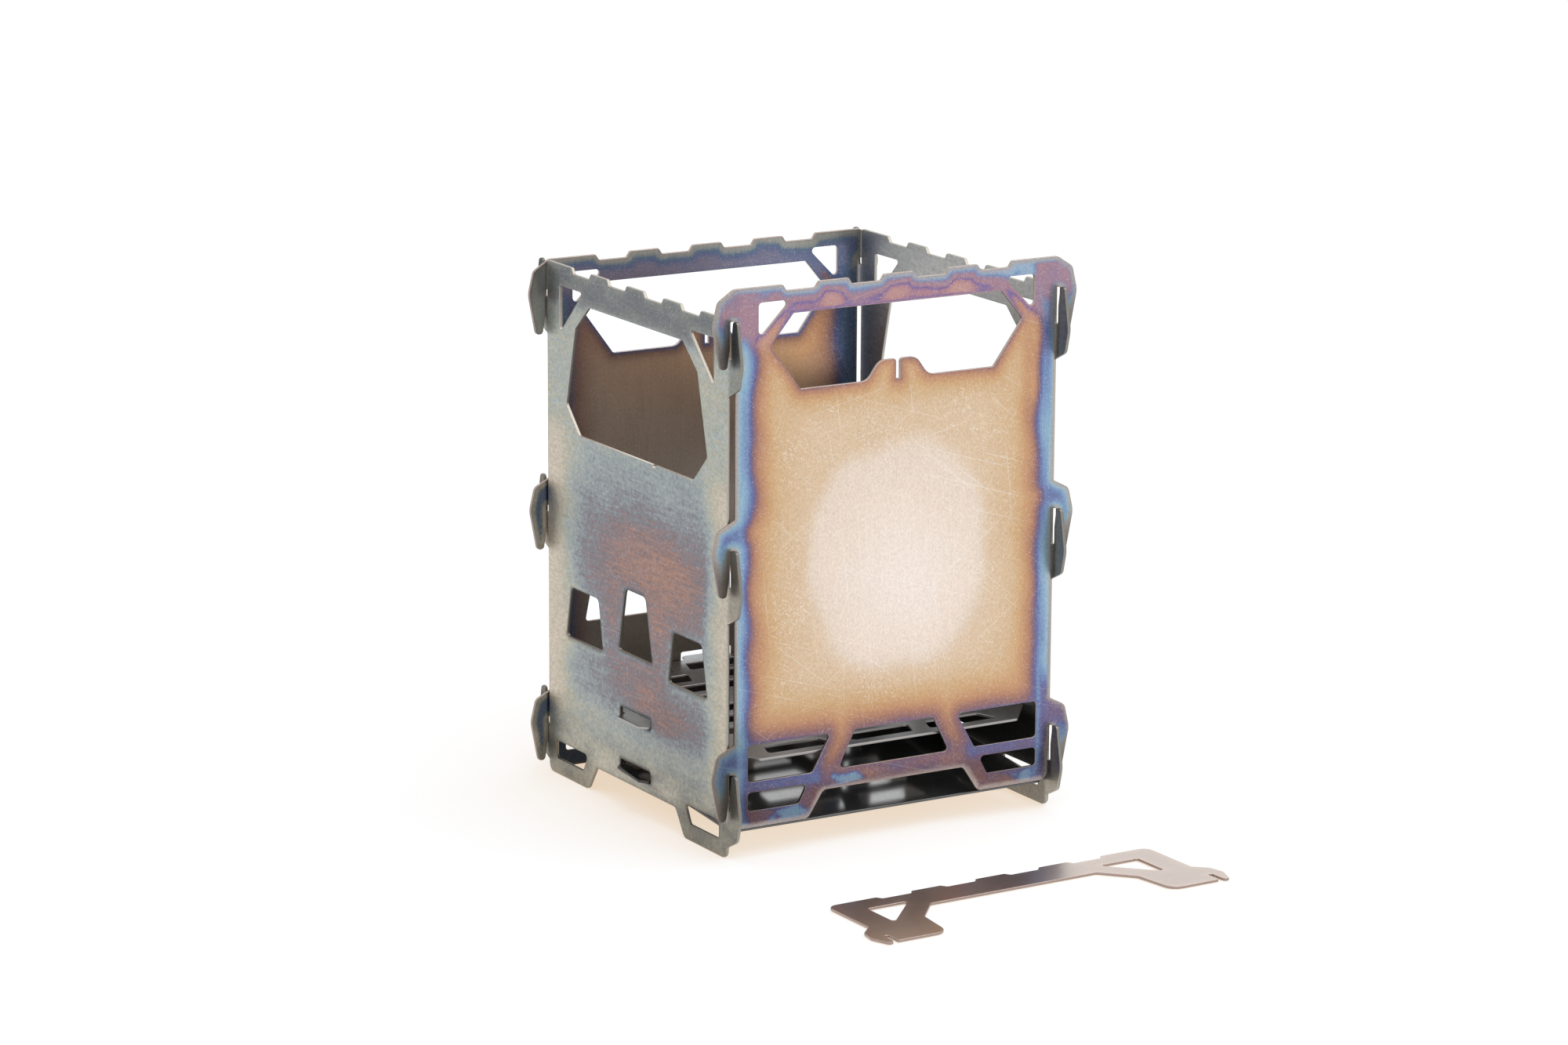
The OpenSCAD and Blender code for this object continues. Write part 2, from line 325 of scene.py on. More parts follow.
def sheetFinish(name, look):
    finish = bpy.data.materials.new(name)
    finish.use_nodes = True
    tree = finish.node_tree
    tree.nodes.clear()
    lie = addNode(tree, "Attribute", attribute_name="lie").outputs["Vector"]
    heat, rail, paintedShade, wall, inner = (addNode(tree, "Attribute", attribute_name=key).outputs["Fac"]
                                     for key in ("tintHeat", "rail", "paintedShade", "wall", "inner"))

    # rolled grain is noise drawn out along one direction; slow, quick and drawn-out noise, less its
    # mean of 0.5, are added to the heat, so that its contour lines wander
    grain = noise(tree, lie, look["grainSize"], 3)
    sway = calc(tree, "MULTIPLY", calc(tree, "SUBTRACT", grain, 0.5), look["streak"])
    for length, amount in ((sheetSurface["swaySize"], look["sway"]), (look["mottleSize"], look["mottle"])):
        wander = calc(tree, "SUBTRACT", noise(tree, lie, length, 3), 0.5)
        sway = calc(tree, "ADD", sway, calc(tree, "MULTIPLY", wander, amount))
    heat = calc(tree, "ADD", heat, sway)
    outside = blend(tree, rail, ramp(tree, heat, look["outside"]), ramp(tree, heat, look["rails"]))
    inside = blend(tree, rail, ramp(tree, heat, look["inside"]), ramp(tree, heat, look["gilt"]))
    colour = blend(tree, inner, outside, inside)

    # light and dark of the grain and of fine grit, 1 on the whole
    grit = noise(tree, lie, look["gritSize"], 2, shift=sheetSurface["gritShift"])
    shade = calc(tree, "ADD", calc(tree, "MULTIPLY", grain, look["grain"]),
                 calc(tree, "MULTIPLY", grit, look["grit"]))
    shade = calc(tree, "ADD", shade, 1.0 - 0.5 * (look["grain"] + look["grit"]))
    colour = darken(tree, colour, shade)

    marks = scratchMarks(tree, lie, heat, inner, look)
    colour = blend(tree, marks, colour, tone(*look["bare"]))

    # cut walls and worn rims: dull and striped; then the colour is darkened by painted shade where the
    # sheet stands in shade
    stripe = noise(tree, lie, sheetSurface["stripeSize"], 2)
    cut = blend(tree, stripe, tone(*look["cutDark"]), tone(*look["cutPale"]))
    colour = blend(tree, wall, colour, cut)
    colour = darken(tree, colour, calc(tree, "SUBTRACT", 1.0, paintedShade))

    rough = calc(tree, "ADD", calc(tree, "MULTIPLY", grain, look["roughSpread"]), look["rough"])
    polish = calc(tree, "MULTIPLY", marks, sheetSurface["polish"])
    rough = calc(tree, "SUBTRACT", rough, polish, clamp=True)
    relief = calc(tree, "ADD", grain, calc(tree, "MULTIPLY", marks, sheetSurface["dent"]))
    bump = addNode(tree, "Bump", {"Strength": look["bump"], "Distance": sheetSurface["bumpDepth"],
                                  "Height": relief}).outputs[0]
    metal = addNode(tree, "BsdfPrincipled", {"Base Color": colour, "Metallic": look["metal"],
                                             "Roughness": rough, "Normal": bump})
    addNode(tree, "OutputMaterial", {"Surface": metal.outputs[0]})
    return finish


# tools for the tint maps: u is the way from the middle and v the height above the feet, in millimetres;
# a pair of numbers is where a change starts and where it is complete
def rise(value, span):
    # 0 before the span, 1 after it, a smooth S between
    share = np.clip((value - span[0]) / (span[1] - span[0]), 0, 1)
    return share * share * (3 - 2 * share)


def fall(value, span):
    # 1 before the span, 0 after it
    return 1 - rise(value, span)


def swell(u, v, at, wide):
    # round hump of height 1 at a point
    return np.exp(-((u - at[0]) / wide[0]) ** 2 - ((v - at[1]) / wide[1]) ** 2)


# run along u and along v, share of the turn, height
slowWaves = [(0.105, 0.16, 1.0, 1.0), (0.21, -0.12, 2.3, 1.0),
             (0.08, 0.33, 4.1, 0.7), (0.43, 0.31, 1.7, 0.5)]


def ripple(u, v, turn):
    # sum of slow sine waves in several directions, about -1 to 1
    waves = [height * np.sin(along * u + up * v + phase * turn) for along, up, phase, height in slowWaves]
    return sum(waves) / sum(height for *_, height in slowWaves)


def heatAt(way, table):
    # straight lines between the table's points
    return np.interp(way, table["way"], table["heat"])


def joinHeat(first, second, sharpness=9):
    # the greater of two heats, with a rounded crease
    return (first ** sharpness + second ** sharpness) ** (1 / sharpness)


# front and back panel: pale middle, straw and brown round it, purple and blue at the rim
oxide = [
    (0.00, (248, 234, 224)),
    (0.10, (241, 222, 207)),
    (0.20, (231, 210, 190)),
    (0.28, (223, 195, 165)),
    (0.36, (214, 180, 141)),
    (0.43, (210, 170, 127)),
    (0.51, (200, 152, 115)),
    (0.57, (181, 133, 110)),
    (0.61, (156, 116, 111)),
    (0.665, (123, 105, 132)),
    (0.71, (109, 114, 158)),
    (0.76, (119, 136, 175)),
    (0.83, (134, 160, 191)),
    (0.90, (150, 180, 197)),
    (0.97, (178, 180, 178)),
    (1.00, (190, 176, 168)),
]
railTint = [
    (0.40, (198, 160, 148)),
    (0.53, (190, 146, 142)),
    (0.57, (172, 130, 142)),
    (0.605, (128, 110, 156)),
    (0.64, (164, 130, 146)),
    (0.70, (170, 134, 144)),
    (0.78, (156, 132, 152)),
    (0.85, (124, 144, 182)),
    (0.91, (148, 172, 194)),
    (1.00, (206, 200, 198)),
]
giltOxide = [
    (0.36, (228, 172, 116)),
    (0.46, (218, 162, 110)),
    (0.54, (182, 132, 98)),
    (0.61, (142, 108, 104)),
    (0.67, (108, 98, 126)),
    (0.73, (96, 108, 150)),
    (0.80, (98, 122, 154)),
    (0.90, (150, 156, 160)),
    (1.00, (196, 194, 188)),
]
sootyOxide = [
    (0.30, (236, 212, 192)),
    (0.50, (218, 202, 188)),
    (0.60, (182, 156, 146)),
    (0.67, (147, 139, 155)),
    (0.74, (116, 124, 156)),
    (0.82, (112, 132, 156)),
    (0.88, (156, 160, 156)),
    (1.00, (196, 194, 186)),
]
# scratches: angle, length, width and the crest of the noise that shows
nicks = [(turn, 2.0, 0.36, 0.735) for turn in (6, -26, 38, 75, 112, 150)]
longScratches = [(13, 60.0, 0.4, 0.77), (-17, 75.0, 0.4, 0.77), (36, 45.0, 0.4, 0.78),
                 (-38, 40.0, 0.4, 0.785), (66, 45.0, 0.4, 0.785), (96, 55.0, 0.4, 0.785)]
wallLook = {
    "outside": oxide, "rails": railTint, "inside": sootyOxide, "gilt": giltOxide,
    "sway": 0.05, "mottle": 0.05, "mottleSize": 0.9, "streak": 0.04,
    "grain": 0.20, "grit": 0.46, "grainSize": (0.6, 12.0), "gritSize": (0.45, 0.9),
    "scratch": 0.52, "scratches": nicks + longScratches, "hotScratch": 0.30,
    "speck": 0.38, "speckSize": 0.5,
    "bare": (255, 250, 240), "cutDark": (128, 114, 108), "cutPale": (214, 198, 187),
    "metal": 1.0, "rough": 0.30, "roughSpread": 0.10, "bump": 0.3,
}
rimHeat = {
    "way": [0.0, 0.5, 1.5, 2.5, 3.5, 4.5, 5.5, 6.5, 8.5, 11.5, 14.5, 25.0],
    "heat": [1.0, 0.97, 0.90, 0.82, 0.74, 0.67, 0.61, 0.57, 0.51, 0.43, 0.36, 0.29],
}
feedHeat = {"way": [0.0, 1.0, 2.0, 5.0, 8.0, 12.0], "heat": [0.62, 0.56, 0.51, 0.38, 0.32, 0.27]}
ventHeat = {"way": [0.0, 1.0, 3.0, 5.0, 8.0, 12.0, 18.0],
            "heat": [0.67, 0.63, 0.59, 0.53, 0.46, 0.37, 0.29]}
hooks = {"lowest": 3.0, "pitch": 67.0, "edge": 54.5, "finger": 56.2}


def hookHeight(v):
    # height above the lower end of the hook at this level
    return (v - hooks["lowest"]) % hooks["pitch"]


# tint of the outer faces: ways and heights in millimetres, the other amounts are steps of heat
edgeBand = {
    "hookReach": 1.2, "hookBand": 3.3, "side": (40, 46),
    "left": 1.5, "leftHeight": (85, 115), "right": (0.9, 1.1), "rightHeight": (100, 125),
    "widenFrom": (1.5, 4), "sway": 1.4, "swayFrom": (0.5, 3), "topNarrow": 0.45, "topHeight": (139, 146),
    "holeSway": 0.6, "ventHeight": (40, 90),
}
paleOval = {
    "middle": (0.5, 76.5), "sway": (1.5, 2.0), "half": (30, 34), "power": 2.4, "fade": (0.70, 1.25),
    "cool": 0.10, "palest": ((3, 68), (27, 28)), "coolest": 0.15,
}
topRail = {
    "height": (139, 147), "width": (11, 15), "sway": 0.06, "stretch": (1.4, 0.4), "swayFrom": (1, 4),
    "blue": 0.14, "bluePatch": ((40, 157), (7, 6)), "most": 0.92,
    "rightCool": 0.09, "rightEdge": (44, 48), "rightHeight": (95, 125),
    "corner": (46, 49), "cornerHeight": (142, 149), "cornerSway": 1.5, "cornerRim": (1.0, 2.0),
    "mauve": 0.74, "mauveSpread": 0.10, "mauveStretch": 1.6,
}
lowRail = {
    "height": (12, 19), "edge": (49, 52), "purple": 0.635, "spread": 0.03, "stretch": (2.2, 2.6),
    "thinLeft": 0.07, "thinRight": 0.05, "thinEdge": (24, 27), "thinHeight": (9.5, 11.5),
    "teal": 0.86, "tealSpots": [((-36, 2.2), (7, 2.6)), ((-15.5, 10), (6, 2.4)), ((47, 3.4), (4, 4))],
    "tealRags": [(0.30, 4, 5), (0.25, 9, 11)], "tealFade": (0.25, 0.80),
    "hookHeight": (28, 38), "violet": 0.69, "violetFrom": (47, 50),
    "violetDrop": 0.025, "dropFrom": (53, 55.5),
    "line": 0.12, "lineAt": 50.5, "lineSway": 1.6, "lineHalf": 0.6,
    "navy": 0.08, "navyFrom": (52, 54.5), "navyRim": (0.6, 1.4),
}
wallShadeAndWear = {                # painted shade and worn rims, shares from 0 to 1
    "low": 0.16, "left": 0.18, "leftFrom": (38, 50), "right": 0.06, "rightFrom": (44, 50),
    "height": (16, 30), "leftLift": 8, "liftFrom": (44, 50), "foot": 0.26, "footHeight": (8, 12),
    "hook": 0.08, "hookLow": 0.44, "tip": 0.58, "tipHeight": (3, 17), "tipFrom": 55.6,
    "under": (10, 13), "high": (134, 140), "rag": 0.3, "ragStretch": 5,
    "hookRim": 0.4, "hookFrom": (53, 55.5),
    "wornFrom": (0.1, 0.6, 0.2), "wornTo": (0.9, 0.9, 0.7), "wornUnshaded": 0.9, "worn": 0.85,
}


def outerHeat(u, v, toRim, toHole, turn):
    far, wave = np.abs(u), ripple(u, v, turn)

    # heat falls with the way from the rim and the openings; hooks take the tint of the edge they
    # stand on, and the band along the side edges is wider high up and on the right
    band = edgeBand
    way = np.minimum(toRim, np.maximum(hooks["edge"] + band["hookReach"] - far, band["hookBand"]))
    right = band["right"][0] + band["right"][1] * rise(v, band["rightHeight"])
    wide = np.where(u < 0, band["left"] * rise(v, band["leftHeight"]), right) * rise(far, band["side"])
    way = way - wide * rise(way, band["widenFrom"]) + band["sway"] * wave * rise(way, band["swayFrom"])
    rim = heatAt(way * (1 + band["topNarrow"] * rise(v, band["topHeight"])), rimHeat)
    feed = heatAt(toHole + band["holeSway"] * wave, feedHeat)
    vent = heatAt(toHole + band["holeSway"] * wave, ventHeat)
    heat = joinHeat(rim, feed + (vent - feed) * fall(v, band["ventHeight"]))

    # pale oval
    sides = zip((u, v), paleOval["middle"], paleOval["sway"], paleOval["half"])
    away = sum(np.abs((place - middle - sway * wave) / half) ** paleOval["power"]
               for place, middle, sway, half in sides)
    heat -= paleOval["cool"] * fall(away, paleOval["fade"])
    heat -= paleOval["coolest"] * swell(u, v, *paleOval["palest"])

    # top rail with contour lines and a blue patch; its corners are mauve inside a blue line
    top = topRail
    rail = rise(v, top["height"]) * fall(toRim + toHole, top["width"])
    lines = ripple(top["stretch"][0] * u, top["stretch"][1] * v, turn + 1)
    heat -= top["sway"] * rail * lines * rise(toRim, top["swayFrom"])
    heat += top["blue"] * rail * swell(u, v, *top["bluePatch"])
    heat = np.where(v > top["height"][0], np.minimum(heat, top["most"]), heat)
    heat -= top["rightCool"] * rise(u, top["rightEdge"]) * rise(v, top["rightHeight"]) * (1 - rail)
    corner = rise(far, top["corner"]) * rise(v + top["cornerSway"] * wave, top["cornerHeight"])
    corner = corner * rise(toRim, top["cornerRim"])
    mauve = ripple(top["mauveStretch"] * u, top["mauveStretch"] * v, turn)
    heat += corner * (top["mauve"] + top["mauveSpread"] * mauve - heat)
    rail = np.maximum(rail, corner)

    # lowest rails and feet: purple with teal patches, the thin rails bluer
    low = lowRail
    thin = np.where(u < 0, low["thinLeft"], low["thinRight"]) * rise(far, low["thinEdge"])
    patch = low["purple"] + thin * rise(v, low["thinHeight"])
    patch = patch + low["spread"] * ripple(low["stretch"][0] * u, low["stretch"][1] * v, turn + 2)
    teal = sum(swell(u, v, *spot) for spot in low["tealSpots"])
    teal = teal + sum(amount * ripple(along * u, up * v, turn) for amount, along, up in low["tealRags"])
    patch += (low["teal"] - patch) * rise(teal, low["tealFade"])
    heat += fall(v, low["height"]) * fall(far, low["edge"]) * (patch - heat)

    # lowest hooks: violet on the right, with a blue line beside it, and navy on the left
    line = np.exp(-((u - low["lineAt"] - low["lineSway"] * wave) / low["lineHalf"]) ** 2)
    violet = low["violet"] - low["violetDrop"] * rise(u, low["dropFrom"]) + low["line"] * line
    heat += rise(u, low["violetFrom"]) * fall(v, low["hookHeight"]) * (violet - heat)
    navy = rise(-u, low["navyFrom"]) * fall(v, low["hookHeight"]) * rise(toRim, low["navyRim"])
    return heat - low["navy"] * navy, rail


def outerTint(u, v, toRim, toHole, turn):
    # heat and rails with painted shade and worn rims
    heat, rail = outerHeat(u, v, toRim, toHole, turn)
    far, shadeAndWear = np.abs(u), wallShadeAndWear

    # painted shade low down, most on the left and on the hooks there; the tips of the hooks are painted
    # grey and dark as shade
    paintedShade = shadeAndWear["low"] + shadeAndWear["left"] * rise(-u, shadeAndWear["leftFrom"])
    paintedShade = paintedShade - shadeAndWear["right"] * rise(u, shadeAndWear["rightFrom"])
    paintedShade = paintedShade * fall(v - shadeAndWear["leftLift"] * rise(-u, shadeAndWear["liftFrom"]), shadeAndWear["height"])
    paintedShade = paintedShade + shadeAndWear["foot"] * fall(v, shadeAndWear["footHeight"])
    hook = shadeAndWear["hook"] + shadeAndWear["hookLow"] * fall(v, lowRail["hookHeight"])
    paintedShade = np.maximum(paintedShade, hook * rise(-u, lowRail["navyFrom"]))
    tip = fall(hookHeight(v), shadeAndWear["tipHeight"]) * rise(far, (shadeAndWear["tipFrom"], hooks["finger"]))

    # the rim is rubbed bright, more on the hooks, at the top and under the feet
    under, high = fall(v, shadeAndWear["under"]), rise(v, shadeAndWear["high"])
    ragged = ripple(shadeAndWear["ragStretch"] * u, shadeAndWear["ragStretch"] * v, turn)
    way = toRim + shadeAndWear["rag"] * under * ragged - shadeAndWear["hookRim"] * rise(far, shadeAndWear["hookFrom"])
    span = [least + low * under + top * high for least, low, top in (shadeAndWear["wornFrom"], shadeAndWear["wornTo"])]
    worn = fall(way, span)
    # worn rims low down lose most of the painted shade
    paintedShade = paintedShade * (1 - shadeAndWear["wornUnshaded"] * worn * under)
    return heat + tip * (1 - heat), rail, paintedShade + tip * (shadeAndWear["tip"] - paintedShade), shadeAndWear["worn"] * worn


# tint of the inner faces, which look at the fire
innerFace = {
    "rimShare": 0.6, "sway": 0.6, "plain": 0.44, "holeHeight": (90, 125),
    "hole": {"way": [0.0, 0.6, 1.4, 3.0, 6.0], "heat": [0.75, 0.68, 0.60, 0.52, 0.44]},
    "top": {"way": [0.5, 1.6, 3.0, 4.5], "heat": [0.94, 0.88, 0.75, 0.69]},
    "topHeight": (146, 150), "topLeft": 0.05, "leftFrom": (10, 45),
    "giltHeight": (84, 152), "giltLean": 0.4,
    "most": 0.80, "mostTop": 0.15, "hookHalf": 0.5, "hook": 0.97, "hookBlue": 0.20,
    "hookRim": (0.8, 2.4), "hookHeight": (110, 120), "hookShade": (0.16, 0.16, 0.08),
    "paintedShade": 0.50, "shadeHeight": (45, 100), "shadeLow": 0.36, "lowHeight": (26, 32), "wornRim": (0.1, 0.9),
}


def innerTint(u, v, toRim, toHole, turn):
    # wider bands than outside, and a golden part high up on one side
    face, wave = innerFace, ripple(u, v, turn)
    rim = heatAt(face["rimShare"] * toRim + face["sway"] * wave, rimHeat)
    hole = (heatAt(toHole, face["hole"]) - face["plain"]) * rise(v, face["holeHeight"])
    heat = joinHeat(rim, face["plain"] + hole)
    gilt = rise(v - face["giltLean"] * u, face["giltHeight"]) * fall(v, face["topHeight"])
    top = heatAt(toRim + face["sway"] * wave, face["top"]) + face["topLeft"] * rise(-u, face["leftFrom"])
    heat += rise(v, face["topHeight"]) * (top - heat)

    # hooks: pale at the rim, dark blue towards the sheet except on the highest ones
    hook = rise(np.abs(u), (hooks["edge"] - face["hookHalf"], hooks["edge"] + face["hookHalf"]))
    blue = rise(toRim, face["hookRim"]) * fall(v, face["hookHeight"])
    most = np.minimum(heat, face["most"] + face["mostTop"] * rise(v, face["topHeight"]))
    heat = most + hook * (face["hook"] - face["hookBlue"] * blue - most)
    # painted shade inside the stove: darker low down, and on the hooks
    paintedShade = face["paintedShade"] * fall(v, face["shadeHeight"]) + face["shadeLow"] * fall(v, face["lowHeight"])
    least, inBlue, onTop = face["hookShade"]
    paintedShade += hook * (least + inBlue * blue + onTop * rise(v, face["hookHeight"]) - paintedShade)
    return heat, gilt, paintedShade, wallShadeAndWear["worn"] * fall(toRim, face["wornRim"])


def wallHeat(turn):
    # turn shifts the waves, so that no two panels are alike
    def heatOf(u, v, toRim, toHole, inner):
        sides = zip(outerTint(u, v, toRim, toHole, turn), innerTint(u, v, toRim, toHole, turn))
        return [np.where(inner, back, face) for face, back in sides]
    return heatOf


frontFinish = sheetFinish("front heat tint", wallLook)
frontPanel = {"name": "front_wall", "node": "front_panel", "body": "front", "slot": "front_sheet",
              "facing": (0, -1, 0), "across": (1, 0, 0), "seed": 0, "waves": 0.4, "finish": frontFinish}
backPanel = {"name": "back_wall", "node": "back_panel", "body": "stove", "slot": "back_sheet",
             "facing": (0, 1, 0), "across": (-1, 0, 0), "seed": 140, "waves": 2.6, "finish": frontFinish}
for panel in (frontPanel, backPanel):
    cutSheet(panel, wallHeat(panel["waves"]))


# side panels: dull grey-green with blue-grey and a rusty mauve patch, cream along the edges
sideTint = [
    (0.00, (204, 190, 172)),
    (0.15, (192, 182, 164)),
    (0.30, (180, 177, 161)),
    (0.45, (166, 170, 165)),
    (0.60, (147, 152, 154)),
    (0.72, (130, 127, 132)),
    (0.85, (140, 120, 120)),
    (1.00, (162, 126, 112)),
]
sideRail = [(0.0, (194, 188, 172)), (0.5, (138, 138, 132)), (1.0, (114, 115, 116))]
sideInside = [(0.0, (196, 195, 190)), (0.4, (182, 182, 178)),
              (0.7, (172, 173, 175)), (1.0, (158, 162, 173))]
sideLook = {
    "outside": sideTint, "rails": sideRail, "inside": sideInside, "gilt": sideInside,
    "sway": 0.26, "mottle": 0.40, "mottleSize": 1.4, "streak": 0.46,
    "grain": 0.48, "grit": 0.66, "grainSize": (9.0, 0.7), "gritSize": (1.2, 0.8),
    "scratch": 0.3, "scratches": [(4, 30.0, 0.3, 0.74), (85, 6.0, 0.3, 0.72), (40, 4.0, 0.3, 0.72)],
    "hotScratch": 1.0, "speck": 0.42, "speckSize": 0.8,
    "bare": (206, 210, 208), "cutDark": (137, 129, 121), "cutPale": (228, 220, 206),
    "metal": 1.0, "rough": 0.36, "roughSpread": 0.12, "bump": 0.3,
}
sideFace = {
    "sway": 2,
    "back": {"way": [3, 8, 12, 17, 25], "heat": [0.0, 0.10, 0.30, 0.48, 0.60]},
    "front": {"way": [2, 6, 10, 15, 25], "heat": [0.0, 0.14, 0.34, 0.64, 0.64]},
    "tall": {"way": [10, 20, 25, 31, 42, 60, 92, 104],
             "heat": [0.40, 0.45, 0.72, 1.0, 1.0, 1.1, 1.0, 0.85]},
    "spots": [(0.34, (10, 77), (34, 16)), (0.26, (2, 48), (20, 20)), (0.16, (18, 33), (24, 8))],
    "forward": 0.06, "forwardFrom": (0, 40),
    "hole": 0.22, "edgeFade": 1.6, "holeHeight": (95, 104), "upper": 0.38, "upperHeight": (106, 116),
    "rail": 1.0, "railHeight": (146, 152), "railEdge": 0.5, "railSpread": 0.2, "railStretch": (1.5, 3),
    "bottomHeight": (10, 26), "bottomPale": 0.90, "bottomDark": 0.20, "darkFrom": (-20, 5),
    "inner": 0.3, "innerBack": 0.5, "backFrom": (30, 52),
}
sideShade = {               # painted shade and a painted reflection, shares from 0 to 1
    "fingerFrom": 54, "strip": (53, 55),
    "inner": 0.45, "innerHeight": (50, 115), "innerFinger": 0.35,
    "innerLow": 0.35, "innerSlots": 0.50, "slotsHeight": (9, 14), "lowHeight": (25, 31),
    "innerTip": 0.44, "tipHeight": (6, 12),
    "finger": 0.38, "fingerTop": 0.16, "topHeight": (8, 14),
    "mirrored": 0.20, "mirrorFrom": (1, 9), "mirrorStart": (0, 5), "mirrorEnd": (20, 25),
    "foot": 0.40, "footHeight": (8, 15), "footFrom": (22, 30),
    "rim": 0.30, "rimWay": (0.2, 1.6), "rimHeight": (13, 18),
    "hole": 0.55, "holeFrom": 0.1, "holeTo": 0.5, "holeHeight": (70, 85),
    "slot": 0.25, "slotHalf": (10, 14), "slotHeight": (36, 40),
    "patch": 0.14, "patchSpot": ((26, 29), (24, 13)),
}


def sideOuterHeat(u, v, toRim, toHole, turn):
    # heat falls towards both edges, changes with the height and has three round patches; the upper
    # part is even, and the top and bottom rails have heat of their own
    face, wave = sideFace, ripple(u, v, turn)
    toEdges = np.minimum(heatAt(hooks["edge"] + u + face["sway"] * wave, face["back"]),
                         heatAt(hooks["edge"] - u + face["sway"] * wave, face["front"]))
    tall = heatAt(v, face["tall"])
    heat = toEdges * tall + sum(amount * swell(u, v, at, wide) for amount, at, wide in face["spots"])
    heat += face["forward"] * rise(u, face["forwardFrom"]) * tall
    heat -= face["hole"] * np.exp(-toHole / face["edgeFade"]) * fall(v, face["holeHeight"])
    heat += (face["upper"] - heat) * rise(v, face["upperHeight"])
    bottom = fall(v, face["bottomHeight"])
    rail = np.maximum(rise(v, face["railHeight"]), bottom)
    nearEdge = np.exp(-np.minimum(toRim, toHole) / face["edgeFade"])
    ownHeat = face["rail"] - face["railEdge"] * nearEdge * (1 - bottom)
    ownHeat += face["railSpread"] * ripple(face["railStretch"][0] * u, face["railStretch"][1] * v, turn)
    ownHeat -= (face["bottomPale"] - face["bottomDark"] * rise(u, face["darkFrom"])) * bottom
    return heat + rail * (ownHeat - heat), rail


def sideInnerShade(u, v):
    # painted shade: darker low down, most behind the plates, and on the fingers
    shade, far = sideShade, np.abs(u)
    finger = rise(far, (shade["fingerFrom"], hooks["finger"]))
    low = fall(v, shade["innerHeight"])
    paintedShade = shade["inner"] * low + shade["innerFinger"] * finger
    paintedShade *= 1 - rise(far, shade["strip"]) * low
    plates = shade["innerLow"] + shade["innerSlots"] * rise(v, shade["slotsHeight"])
    paintedShade = np.maximum(paintedShade, plates * fall(v, shade["lowHeight"]) * fall(far, shade["strip"]))
    return np.maximum(paintedShade, shade["innerTip"] * finger * rise(v, shade["tipHeight"]))


def sideOuterShade(u, v, toRim, toHole):
    # painted shade: dark fingers, feet, lower rim, lower openings and a dark patch; a painted reflection
    # of each hook darkens the sheet behind it
    shade, far, height = sideShade, np.abs(u), hookHeight(v)
    finger = rise(far, (shade["fingerFrom"], hooks["finger"]))
    finger = finger * (shade["finger"] + shade["fingerTop"] * rise(height, shade["topHeight"]))
    foot = shade["foot"] * fall(v, shade["footHeight"]) * rise(far, shade["footFrom"])
    foot = np.maximum(foot, shade["rim"] * fall(toRim, shade["rimWay"]) * fall(v, shade["rimHeight"]))
    slot = shade["slot"] * fall(far, shade["slotHalf"]) * fall(v, shade["slotHeight"])
    hole = (shade["hole"] + slot) * fall(toHole, (shade["holeFrom"], shade["holeTo"] + slot))
    foot = np.maximum(foot, hole * fall(v, shade["holeHeight"]))
    # a painted reflection of the hook, dark on the sheet behind it
    mirrored = shade["mirrored"] * fall(hooks["edge"] + u, shade["mirrorFrom"])
    mirrored = mirrored * rise(height, shade["mirrorStart"]) * fall(height, shade["mirrorEnd"])
    return np.maximum(finger, foot) + shade["patch"] * swell(u, v, *shade["patchSpot"]) + mirrored


def sideHeat(turn, front):
    # front is 1 where u runs to the front and -1 where it runs to the back
    def heatOf(u, v, toRim, toHole, inner):
        u = front * u
        heat, rail = sideOuterHeat(u, v, toRim, toHole, turn)
        innerHeat = sideFace["inner"] + sideFace["innerBack"] * rise(-u, sideFace["backFrom"])
        paintedShade = np.where(inner, sideInnerShade(u, v), sideOuterShade(u, v, toRim, toHole))
        return np.where(inner, innerHeat, heat), rail * (1 - inner), paintedShade, 0 * u
    return heatOf


sideFinish = sheetFinish("side heat tint", sideLook)
leftPanel = {"name": "left_wall", "node": "left_panel", "body": "stove", "slot": "side_sheet",
             "facing": (-1, 0, 0), "across": (0, -1, 0), "seed": 300, "finish": sideFinish,
             "waves": 1.1, "front": 1}
rightPanel = {"name": "right_wall", "node": "right_panel", "body": "stove", "slot": "side_sheet",
              "facing": (1, 0, 0), "across": (0, 1, 0), "seed": 460, "finish": sideFinish,
              "waves": 3.7, "front": -1}
for panel in (leftPanel, rightPanel):
    cutSheet(panel, sideHeat(panel["waves"], panel["front"]))


# grate and ash plate: heat-darkened sheet, paler along the edges
def allOver(tint):
    # the same colours on both sides and on the rails
    return {"outside": tint, "rails": tint, "inside": tint, "gilt": tint}


grateTint = [(0.0, (168, 169, 170)), (0.5, (152, 155, 157)), (1.0, (134, 137, 141))]
grateLook = {
    **sideLook, **allOver(grateTint), "sway": 0.25, "mottle": 0.12, "streak": 0.1,
    "grain": 0.14, "grit": 0.3, "grainSize": (20.0, 1.0), "speck": 0.1,
    "bare": (200, 198, 194), "cutDark": (130, 126, 124), "cutPale": (196, 192, 188), "rough": 0.26,
}
ashTint = [(0.0, (192, 192, 191)), (0.5, (178, 179, 179)), (1.0, (160, 161, 163))]
ashLook = {
    **grateLook, **allOver(ashTint), "grain": 0.06, "metal": 0.92, "rough": 0.09, "roughSpread": 0.0,
    "bump": 0.04, "bare": (150, 150, 150), "cutDark": (76, 76, 78), "cutPale": (126, 124, 122),
}
plateFace = {"heat": 0.65, "edge": 0.35, "edgeFade": 2.0, "backShadeFrom": (22, 45)}


